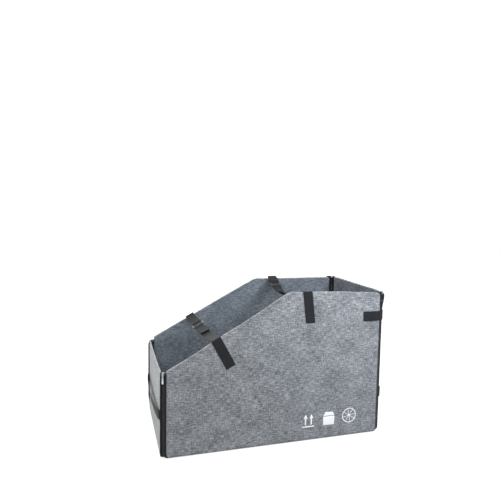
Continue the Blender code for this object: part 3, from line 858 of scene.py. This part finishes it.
def copy_of(node, name):
    """A copy of a frame's piece, moved to the world's origin with its shape in place."""
    original = frame["nodes"][node]
    piece = add_object(name, original.data.copy())
    piece.matrix_world = original.matrix_world.copy()
    active_only(piece)
    bpy.ops.object.transform_apply(location=True, rotation=True, scale=True)
    return piece


def rounded_copy(node, material, radius, body):
    """A copy of a frame's piece with its edges rounded, which stands for it."""
    piece = copy_of(node, node + "_body")
    bpy.ops.object.mode_set(mode="EDIT")
    bpy.ops.mesh.select_all(action="SELECT")
    bpy.ops.mesh.remove_doubles(threshold=0.00001)
    bpy.ops.mesh.dissolve_limited(angle_limit=math.radians(2))
    bpy.ops.object.mode_set(mode="OBJECT")
    bevel = piece.modifiers.new("edges", "BEVEL")
    bevel.width = radius
    bevel.segments = 3
    bevel.limit_method = "ANGLE"
    bevel.angle_limit = math.radians(35)
    apply_modifiers(piece)
    bpy.ops.object.shade_smooth_by_angle(angle=math.radians(50))
    declare(piece, material, body, node)


def bowed_board(node, wall):
    """A copy of a frame's board that bows with its wall, which stands for it."""
    piece = copy_of(node, node + "_bowed")
    work = bmesh.new()
    work.from_mesh(piece.data)
    bmesh.ops.remove_doubles(work, verts=work.verts, dist=0.00001)
    bmesh.ops.dissolve_limit(work, angle_limit=math.radians(2), verts=work.verts, edges=work.edges)
    for normal, low, high in ((wall.along, -wall.half, wall.half), (UP, 0.0, tall_end_height)):
        place = low + board_step
        while place < high:
            bmesh.ops.bisect_plane(work, geom=work.verts[:] + work.edges[:] + work.faces[:],
                                   plane_co=normal * place, plane_no=normal)
            place += board_step
    for vertex in work.verts:
        vertex.co += wall.out * wall.bowed(vertex.co.dot(wall.along), vertex.co.z)
    work.to_mesh(piece.data)
    work.free()
    declare(piece, BOARD, wall.body, node)


# Webbing

def webbing(name, points, across):
    """A strip of webbing along a path, with one direction across it or a direction for each point."""
    shares = [-0.5, -0.47, -0.3, 0.0, 0.3, 0.47, 0.5]
    directions = across if isinstance(across, list) else [across] * len(points)
    along = distances(points)

    def place(column, row):
        point = points[row] + directions[row] * webbing_width * shares[column]
        return point, shares[column] * webbing_width, along[row]

    strip = cloth_piece(name, len(shares), len(points), place, None, webbing_thickness, 0, 1)
    declare(strip, WEBBING)
    return strip


def beside(run, side, wide, length):
    """The path that lies beside a run, starting wide of it and closing up, as far as the length."""
    path = []
    for index, (point, travelled) in enumerate(zip(run, distances(run))):
        if travelled > length:
            break
        ahead = run[min(index + 1, len(run) - 1)] - run[max(index - 1, 0)]
        normal = Vector((-ahead.y, ahead.x)).normalized() * side
        gap = run_parting + (wide - run_parting) * max(0.0, 1 - travelled / run_closing)
        path.append(point + normal * gap)
    return path


def strap_path(side, sag, back_length, steps):
    """A strap's free run in its own plane: from over a rim to the adjuster, the loop round the adjuster's bar
    on that side, and the way back beside the run. Side is -1 for the near rim and 1 for the far one."""
    from_far_side, drop, tilt = sag
    towards = Vector((-math.cos(tilt), -math.sin(tilt))) * -side
    above = Vector((-math.sin(tilt), math.cos(tilt))) * side
    bar = Vector((half_width - from_far_side, -drop)) + towards * bar_centre
    landing = Vector((side * (half_width - frame_wall - rim_landing), webbing_lift))
    end = bar + towards * bar_side + above * bar_out
    pull = (end - landing).length * strap_pull_share
    leaving = Vector((-side * math.cos(strap_rim_angle), -math.sin(strap_rim_angle)))
    run = bezier([landing, landing + leaving * pull, end + towards * pull, end], steps)
    loop = rounded([end,
                    bar - towards * bar_side + above * bar_out,
                    bar - towards * bar_side - above * bar_out,
                    bar + towards * bar_side - above * bar_out], bar_loop_radius)
    return run, loop, beside(list(reversed(run)), side, 2 * bar_out, back_length)


def far_strap_path(sag):
    """The far webbing: up the far wall, over its rim, round the adjuster's rear bar, and back."""
    run, loop, back = strap_path(1, sag, far_return_length, 20)
    foot = Vector((half_width + webbing_lift, -strap_tab_length))
    corner = Vector((half_width + webbing_lift, webbing_lift + far_rim_slack))
    wall_run = resampled(rounded([foot, corner, run[0]], far_rim_radius), 4 * MM)
    return wall_run + run[1:] + loop[1:] + back[1:]


def strap_frame(near_x, far_x, angle):
    """Where a strap starts on the near rim, the ways along and off the rim, and how far it runs askew."""
    height = min(short_end_height + (near_x + half_length) * math.tan(slope_angle), tall_end_height)
    rim = Vector((math.cos(angle), 0, math.sin(angle)))
    rise = Vector((-math.sin(angle), 0, math.cos(angle)))
    return Vector((near_x, 0, height)), rim, rise, (far_x - near_x) / math.cos(angle)


def strap_point(strap, y, height, shift=None):
    start, rim, rise, skew = strap
    if shift is None:
        shift = skew * (y + half_width) / bag_width
    return start + rim * shift + rise * height + Vector((0, y, 0))


def hemmed(tail):
    """The tail with its end lifted off the run and folded back over itself."""
    along = distances(tail)
    lifted = [point + Vector((0, tail_end_lift * smooth_step(0.024, 0.0, along[-1] - place)))
              for point, place in zip(tail, along)]
    ahead = (lifted[-1] - lifted[-2]).normalized()
    above = Vector((ahead.y, -ahead.x))
    turn = []
    for step in range(1, 7):
        angle = step * math.pi / 6
        raised = lifted[-1] + above * hem_gap / 2 * (1 - math.cos(angle))
        turn.append(raised + ahead * hem_gap / 2 * math.sin(angle))
    return lifted + turn + [turn[-1] - ahead * step * 4 * MM for step in range(1, 6)]


def make_cross_strap(name, strap, sag, slant, twist):
    """Both webbings of one strap, its adjuster and its stitching. The crossing hangs twisted by an angle."""
    start, rim, rise, skew = strap
    near, far = WALLS["near"], WALLS["far"]
    lift = webbing_thickness / 2 + 0.15 * MM
    raised = between(near_lift, start.x) * MM
    points = []
    for step in range(27):
        t = step / 26
        height = raised - 1.5 * MM * t - strap_tab_length * (1 - t)
        points.append(near.over(strap_point(strap, -half_width, height, slant * (1 - t)), lift))
    corner_y = -half_width - lift
    run, loop, tail = strap_path(-1, sag, tail_length, 36)
    over = rounded([Vector((corner_y, -1.5 * MM)), Vector((corner_y, webbing_lift)), run[0]], 2.3 * MM)
    for p in resampled(over, 3 * MM)[1:-1] + run + loop[1:] + hemmed(tail)[1:]:
        still_raised = raised * (1 - smooth_step(0.009 - half_width, 0.12 - half_width, p.x))
        points.append(strap_point(strap, p.x, p.y + still_raised))
    turns = [twist * smooth_step(-0.20, -0.10, p.y) * smooth_step(0.13, 0.04, p.y) for p in points]
    across = [rim * math.cos(turn) + rise * math.sin(turn) for turn in turns]
    strip = webbing(name + "_webbing", points, across)
    for vertex in strip.data.vertices:
        y = vertex.co.y
        aside = 2 * ((vertex.co - strap_point(strap, y, 0)).dot(rim)) / webbing_width
        cup = 0.9 * MM * smooth_step(0.03 - half_width, 0.12 - half_width, y) * (1 - aside ** 2)
        vertex.co += rise * cup * -0.5
    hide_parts(name, name + "_near_tab")
    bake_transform(strip)

    far_path = [strap_point(strap, p.x, p.y) for p in far_strap_path(sag)]
    far_path = [far.over(p, lift) if p.y > half_width and p.z < far_rim(p.x) - 2 * MM else p
                for p in far_path]
    far_strip = webbing(name + "_far_webbing_cloth", far_path, rim)
    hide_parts(name + "_far_webbing")
    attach(far_strip, "far_wall")
    rounded_copy(name + "_adjuster", ACETAL, 0.9 * MM, "far_wall")

    low = strap_tab_length - 6 * MM
    high = strap_tab_length - 38 * MM
    for wall, side in ((near, -1), (far, 1)):
        corners = []
        for aside, down in ((-1, low), (1, low), (1, high), (-1, high)):
            shift = (slant * (down / strap_tab_length) if side < 0 else skew) + aside * 15.5 * MM
            corners.append(strap_point(strap, side * half_width, (raised if side < 0 else 0.0) - down, shift))
        lines = [[wall.over(p, webbing_thickness + 0.3 * MM) for p in line] for line in boxed_cross(corners)]
        stitch_lines("%s_%s_box_stitch" % (name, wall.name), lines, wall.out, wall.body)


def make_handle(key, bow_out, fullness):
    """A webbing handle in two halves, each sewn in at a corner seam."""
    wall = WALLS[key]
    reach = end_side - handle_inset
    seam_s = reach - handle_seam_inset
    seam_d = bow_out * math.cos(math.asin(seam_s / reach)) ** fullness + 1.0 * MM
    steps = 30
    for label, side in (("near", -1), ("far", 1)):
        points = []
        across = []
        for step in list(range(steps + 1)) + [steps + 0.15, steps + 0.45]:
            angle = math.pi / 2 * (1 - step / steps)
            bow = math.cos(angle)
            s = side * reach * math.sin(angle)
            d = max(1.2 * MM, bow_out * max(0.0, bow) ** fullness)
            d += wall.settled(s, handle_height) * (1 - bow)
            points.append(wall.point(s, handle_height - handle_droop * bow * bow, d))
            across.append((UP + wall.out * 0.16 * bow).normalized())
        name = "%s_handle_webbing_%s" % (key, label)
        half = webbing(name, points, across)
        loop = ["%s_handle_loop" % key] if label == "near" else []
        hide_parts("%s_handle_stub_%s" % (key, label), *loop)
        seam = wall.point(side * reach, handle_height, 0)
        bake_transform(half)
        line = [wall.point(side * seam_s, handle_height + z * MM, seam_d) for z in range(-17, 18, 3)]
        stitch_lines("%s_handle_stitch_%s" % (key, label), [line], wall.out, wall.body)


def make_closing_half(label, side):
    """Half the strap round the tall end, from the middle of the end to its tip on a long wall."""
    end_wall = WALLS["tall"]
    wall = WALLS[label]
    lift = webbing_thickness / 2 + 0.2 * MM
    side_lift = patch_thickness + webbing_thickness / 2 + 0.5 * MM
    points = []
    for step in [-0.35, -0.1] + list(range(22)):
        points.append(end_wall.on_cloth(side * (end_side - 3 * MM) * step / 21, closing_height, lift, 0.8))
    corner = [points.pop(),
              Vector((half_length + lift + 0.1 * MM, side * (half_width + side_lift), closing_height)),
              Vector((closing_landing, side * (half_width + side_lift), closing_height))]
    points += resampled(rounded(corner, closing_corner_radius, 12), 4 * MM)
    for step in range(1, 17):
        s = closing_landing - (closing_tab_length - 6 * MM) * step / 16
        points.append(wall.on_cloth(s, closing_height, side_lift, 0.9))
    half = webbing("closing_strap_webbing_" + label, points, UP)
    middle = ["closing_strap"] if label == "near" else []
    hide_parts("closing_tab_" + label, *middle)
    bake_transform(half)
    left = side_end - closing_tab_length + 5 * MM
    right = side_end - closing_tab_length + 34 * MM
    corners = [wall.point(x, closing_height + z, 0)
               for x, z in ((left, -14.5 * MM), (right, -14.5 * MM), (right, 14.5 * MM), (left, 14.5 * MM))]
    lines = [[p + wall.out * (wall.settled(p.x, p.z) * 0.9 + side_lift + webbing_thickness / 2 + 0.15 * MM)
              for p in line] for line in boxed_cross(corners)]
    stitch_lines("closing_box_stitch_" + label, lines, wall.out, "closing_end_" + label)


def make_loop_patch(wall):
    """The loop pile that an end of the closing strap holds to."""
    columns = spaced(side_end - closing_tab_length + 4 * MM, side_end - 5 * MM, 5 * MM, dense=False)

    def place(column, row):
        s = columns[column]
        z = closing_height - patch_height / 2 + patch_height * row / 7
        return wall.on_cloth(s, z, 0.3 * MM), s, z

    patch = cloth_piece("loop_patch_pile_" + wall.name, len(columns), 8, place, wall.out, patch_thickness, 0)
    declare(patch, LOOP_PILE, wall.body, "loop_patch_" + wall.name)


# Zips

def open_roll(corner, towards, z):
    """How much further a tape rolls out: beside the slider at the tall end, and down the far short corner."""
    if corner.endswith("tall"):
        return 7.0 * MM * smooth_step(0.495, 0.560, z)
    return 7.0 * MM * smooth_step(0.02, 0.07, z) if corner == "far_short" and towards > 0 else 0.0


def make_zip_half(corner, towards, wall):
    """Half a zip: its tape, from the wall's seam to the coil, and the coil's turns. Towards is 1 on an end
    wall and -1 on a long one. A place in the tape's section is its distance from the zip's middle, its
    distance outward, and its share of the roll."""
    end, side = CORNERS[corner]
    middle = Vector((end * (half_length - corner_cut / 2), side * (half_width - corner_cut / 2), 0))
    outward = Vector((end, side, 0)).normalized()
    along = Vector((end, -side, 0)).normalized() * towards
    top = (tall_end_height if end > 0 else short_end_height) - zip_head_drop
    seam = corner_cut / math.sqrt(2) - 0.4 * MM
    roll = 3.6 * MM if towards > 0 else 0.8 * MM
    sections = [(seam + 6.5 * MM, -9.1 * MM, 0.0), (seam + 3.0 * MM, -5.6 * MM, 0.0),
                (seam + 0.8 * MM, -3.2 * MM, 0.0), (seam - 0.6 * MM, -1.8 * MM, 0.45),
                (seam - 2.2 * MM, tape_level, 1.0), (seam - 4.6 * MM, tape_level, 0.75),
                (seam * 0.48, tape_level, 0.2), (3.2 * MM, -1.7 * MM, 0.0), (1.4 * MM, -1.8 * MM, 0.0),
                (0.5 * MM, -1.8 * MM, 0.0)]
    count = round((top - zip_foot) / (6 * MM))
    rows = [zip_foot + (top - zip_foot) * i / count for i in range(count + 1)]

    def place(column, row):
        s, n, share = sections[column]
        z = rows[row]
        n += share * (roll + open_roll(corner, towards, z))
        ripple = 0.4 * MM * noise.noise(Vector((z * 26, towards * 3.0, middle.x * 9)))
        ripple *= min(1.0, s / (6 * MM))
        top_fade = 1 - smooth_step(top - 16 * MM, top, z) * 0.7
        depth = n if n < tape_level else tape_level + (n - tape_level) * top_fade
        return middle + along * s + outward * (depth + ripple - cut_in(bottom_bend, z)) + UP * z, s, z

    tape = cloth_piece("zip_tape_%s_%s" % (corner, wall.body), len(sections), len(rows), place, outward,
                       tape_thickness, 0)
    node = "zip_%s_%s_half" % (corner, "end" if towards > 0 else "side")
    declare(tape, TAPE_CLOTH, wall.body, node)

    places = []
    z = coil_foot + (0 if towards < 0 else coil_pitch / 2)
    while z < top + 0.5 * MM:
        centre = middle + along * coil_from_middle + outward * coil_level + UP * z
        places.append(lying(centre, along, UP, coil_turn))
        z += coil_pitch
    stitches("zip_coil_%s_%s" % (corner, wall.body), places, NYLON_COIL, wall.body)


def make_corner_tape(wall):
    """The zip tape's end, folded behind the rounded top corner of a long wall at the tall end."""
    shares = [0.0, 0.35, 0.7, 0.9, 1.0]
    low = 0.552
    high = 0.5745
    left = side_end - 17 * MM
    right = side_end - 0.5 * MM

    def place(column, row):
        share = shares[column]
        s = left + (right - left) * share
        top = high - 1.5 * MM * (1 - share) - 1.2 * MM * (share > 0.95)
        z = low + (top - low) * row / 6
        return wall.point(s, z, -3.2 * MM), s, z

    tape = cloth_piece("zip_end_tape_" + wall.name, len(shares), 7, place, wall.out, 2.6 * MM, 0, 1)
    declare(tape, TAPE_CLOTH, wall.body)


# The print

def print_cell(work, corners, across, up):
    """One four-sided piece of print, divided finely enough to follow the cloth."""
    a, b, c, d = [Vector(corner) for corner in corners]
    points = []
    for row in range(up + 1):
        for column in range(across + 1):
            u, v = column / across, row / up
            flat = (a * (1 - u) + b * u) * (1 - v) + (d * (1 - u) + c * u) * v
            points.append(work.verts.new(WALLS["near"].over(Vector((flat.x, 0, flat.y)), print_lift)))
    for row in range(up):
        for column in range(across):
            low = row * (across + 1) + column
            high = low + across + 1
            work.faces.new([points[index] for index in (low, low + 1, high + 1, high)])


def print_ring(work, centre, inner, outer, turns):
    for turn in range(turns):
        first, second = 2 * math.pi * turn / turns, 2 * math.pi * (turn + 1) / turns
        corners = [(centre[0] + r * math.cos(a), centre[1] + r * math.sin(a))
                   for r, a in ((inner, first), (outer, first), (outer, second), (inner, second))]
        print_cell(work, corners, 1, 1)


def print_block(work, foot, top, low, high, across, up):
    """A block of print between its left and right edges at its foot and at its top."""
    print_cell(work, [(foot[0], low), (foot[1], low), (top[1], high), (top[0], high)], across, up)


def make_print():
    """White marks low on the near wall: a pair of arrows over a bar, a closed box, and a spoked wheel."""
    work = bmesh.new()
    wheel = Vector((0.2980, 0.0850))
    print_ring(work, wheel, 0.0268, 0.0300, 56)
    print_ring(work, wheel, 0.0016, 0.0050, 18)
    for turn in range(8):
        angle = math.pi * turn / 4 + 0.2
        way = Vector((math.cos(angle), math.sin(angle)))
        side = Vector((-way.y, way.x)) * 0.0009
        hub, rim = wheel + way * 0.0050, wheel + way * 0.0268
        print_cell(work, [hub - side, rim - side, rim + side, hub + side], 7, 1)
    for x in (0.1120, 0.1360):
        shaft = (x - 0.0030, x + 0.0030)
        print_block(work, shaft, shaft, 0.0650, 0.0905, 2, 8)
        print_block(work, (x - 0.0088, x + 0.0088), (x - 0.0006, x + 0.0006), 0.0905, 0.1070, 5, 5)
    bar = (0.0990, 0.1490)
    box = (0.1860, 0.2340)
    print_block(work, bar, bar, 0.0555, 0.0600, 14, 2)
    print_block(work, box, box, 0.0555, 0.0900, 14, 10)
    print_block(work, box, (0.1940, 0.2260), 0.0925, 0.1075, 14, 5)
    mesh = bpy.data.meshes.new("wall_print")
    work.to_mesh(mesh)
    work.free()
    ink = add_object("wall_print", mesh)
    face_towards(ink, WALLS["near"].out)
    thicken(ink, ink_thickness, 0)
    declare(ink, WHITE_INK, "near_wall")


# Camera, floor and lights

def make_camera():
    """Stands where the bag was photographed from."""
    data = bpy.data.cameras.new("camera")
    data.sensor_width = 36
    data.lens = 34.576
    right = Vector((0.9583, -0.2854, 0.0166)).normalized()
    ahead = Vector((0.2858, 0.9543, -0.0876)).normalized()
    axes = Matrix((right, right.cross(ahead).normalized(), -ahead)).transposed().to_4x4()
    camera = add_object("camera", data)
    camera.matrix_world = Matrix.Translation((-0.615, -1.8768, 0.8966)) @ axes
    bpy.context.scene.camera = camera


def seen_white(tree):
    """1 for rays from the camera, and for those that metal or glass sends on."""
    path = add_node(tree, "ShaderNodeLightPath")
    glossy = math_node(tree, "MAXIMUM", path.outputs["Is Camera Ray"], path.outputs["Is Glossy Ray"])
    return math_node(tree, "MAXIMUM", glossy, path.outputs["Is Transmission Ray"])


def make_stage():
    """A white floor that glows for the camera more with distance, and a white sky."""
    bpy.ops.mesh.primitive_plane_add(size=14, location=(0, 0, -0.0006))
    floor = bpy.context.object
    floor.name = "studio_floor"
    made, tree, shader = new_material("white_sweep", 0.95)
    shader.inputs["Base Color"].default_value = colour("#AEAEAE")
    place = add_node(tree, "ShaderNodeTexCoord").outputs["Object"]
    away = add_node(tree, "ShaderNodeVectorMath", {"operation": "LENGTH"}, {"Vector": place})
    far_off = add_node(tree, "ShaderNodeMapRange",
                       {"From Min": 0.7, "From Max": 2.0, "To Min": 0.72, "To Max": 1.0},
                       {"Value": away.outputs["Value"]})
    strength = math_node(tree, "MULTIPLY", seen_white(tree), far_off.outputs["Result"])
    glow = add_node(tree, "ShaderNodeEmission", {"Color": (1, 1, 1, 1)}, {"Strength": strength})
    both = add_node(tree, "ShaderNodeAddShader")
    tree.links.new(shader.outputs["BSDF"], both.inputs[0])
    tree.links.new(glow.outputs["Emission"], both.inputs[1])
    tree.links.new(both.outputs["Shader"], tree.nodes["Material Output"].inputs["Surface"])
    finish_with(floor, made)

    world = bpy.data.worlds.new("studio")
    bpy.context.scene.world = world
    world.use_nodes = True
    tree = world.node_tree
    sky = tree.nodes["Background"]
    sky.inputs["Color"].default_value = (1, 1, 1, 1)
    strength = math_node(tree, "ADD", math_node(tree, "MULTIPLY", seen_white(tree), 0.68), 0.32)
    tree.links.new(strength, sky.inputs["Strength"])


def add_lamp(name, place, aim, size, power, tint="#FFFFFF", glossy=True):
    data = bpy.data.lights.new(name, "AREA")
    data.shape = "RECTANGLE"
    data.size, data.size_y = size
    data.energy = power
    data.color = colour(tint)[:3]
    lamp = add_object(name, data)
    lamp.location = place
    lamp.rotation_euler = (Vector(aim) - Vector(place)).to_track_quat("-Z", "Y").to_euler()
    lamp.visible_camera = False
    lamp.visible_glossy = glossy


make_camera()
# The base's outer cloth is the end cloth, made paler with painted light; its lining is the lining cloth,
# darkened with painted shade
make_base_cloth("base_skin", bottom_turn - 1 * MM, 0.3 * MM, cloth_thickness, PAINTED_LIGHT_END_CLOTH,
                "base_outer", -1)
make_base_cloth("base_lining_cloth", wall_depth + 0.2 * MM, 7.4 * MM, lining_thickness, PAINTED_SHADE_LINING_CLOTH,
                "base_lining", 1)
for one_wall in WALLS.values():
    make_skin(one_wall)
    make_lining(one_wall)
    make_seams(one_wall)
for wall_key in ("near", "far"):
    make_corner_tape(WALLS[wall_key])
for corner_key in CORNERS:
    make_corner_gusset(corner_key)
    side_key, end_key = corner_key.split("_")
    make_zip_half(corner_key, -1, WALLS[side_key])
    make_zip_half(corner_key, 1, WALLS[end_key])
    for part, edge in (("slider_", 0.25 * MM), ("puller_", 0.3 * MM)):
        rounded_copy(part + corner_key, NICKEL, edge, "zip_" + part + corner_key)

level_run = half_length - apex_x
make_cross_strap("strap_short", strap_frame(apex_from_short_end * 0.414 - half_length,
                                            apex_from_short_end * 0.374 - half_length, slope_angle),
                 (0.135, 0.016, math.radians(3)), 0.0, math.radians(-3))
make_cross_strap("strap_tall", strap_frame(apex_x + level_run * 0.175, apex_x + level_run * 0.216, 0.0),
                 (0.062, 0.024, math.radians(20)), tall_strap_tab_slant, math.radians(-28))
make_handle("short", 13 * MM, 1.0)
make_handle("tall", 22 * MM, 0.6)
for wall_key, wall_side in (("near", -1), ("far", 1)):
    make_closing_half(wall_key, wall_side)
    make_loop_patch(WALLS[wall_key])
make_print()
for board in ("near_board_lower", "near_board_upper", "far_board_lower", "far_board_upper", "short_end_board",
              "tall_end_board"):
    bowed_board(board, WALLS[board.split("_")[0]])
finish_with(frame["nodes"]["base_board"], BOARD)
make_stage()
add_lamp("key_softbox", (0.85, -1.00, 1.30), (0.25, -0.20, 0.45), (0.6, 0.5), 22.5, "#F0F5FF")
add_lamp("front_top_softbox", (0.00, -0.70, 1.85), (-0.10, 0.10, 0.3), (1.3, 0.7), 18)
add_lamp("left_strip", (-1.05, -0.08, 0.235), (-0.44, -0.02, 0.22), (0.5, 0.16), 1.8, glossy=False)
add_lamp("left_top_softbox", (-0.90, -0.30, 1.30), (-0.35, 0.23, 0.30), (0.4, 0.4), 10)
add_lamp("back_softbox", (-0.35, 1.9, 0.85), (-0.1, 0, 0.4), (1.6, 0.5), 6)

view = bpy.context.scene.view_settings
view.view_transform = "Standard"
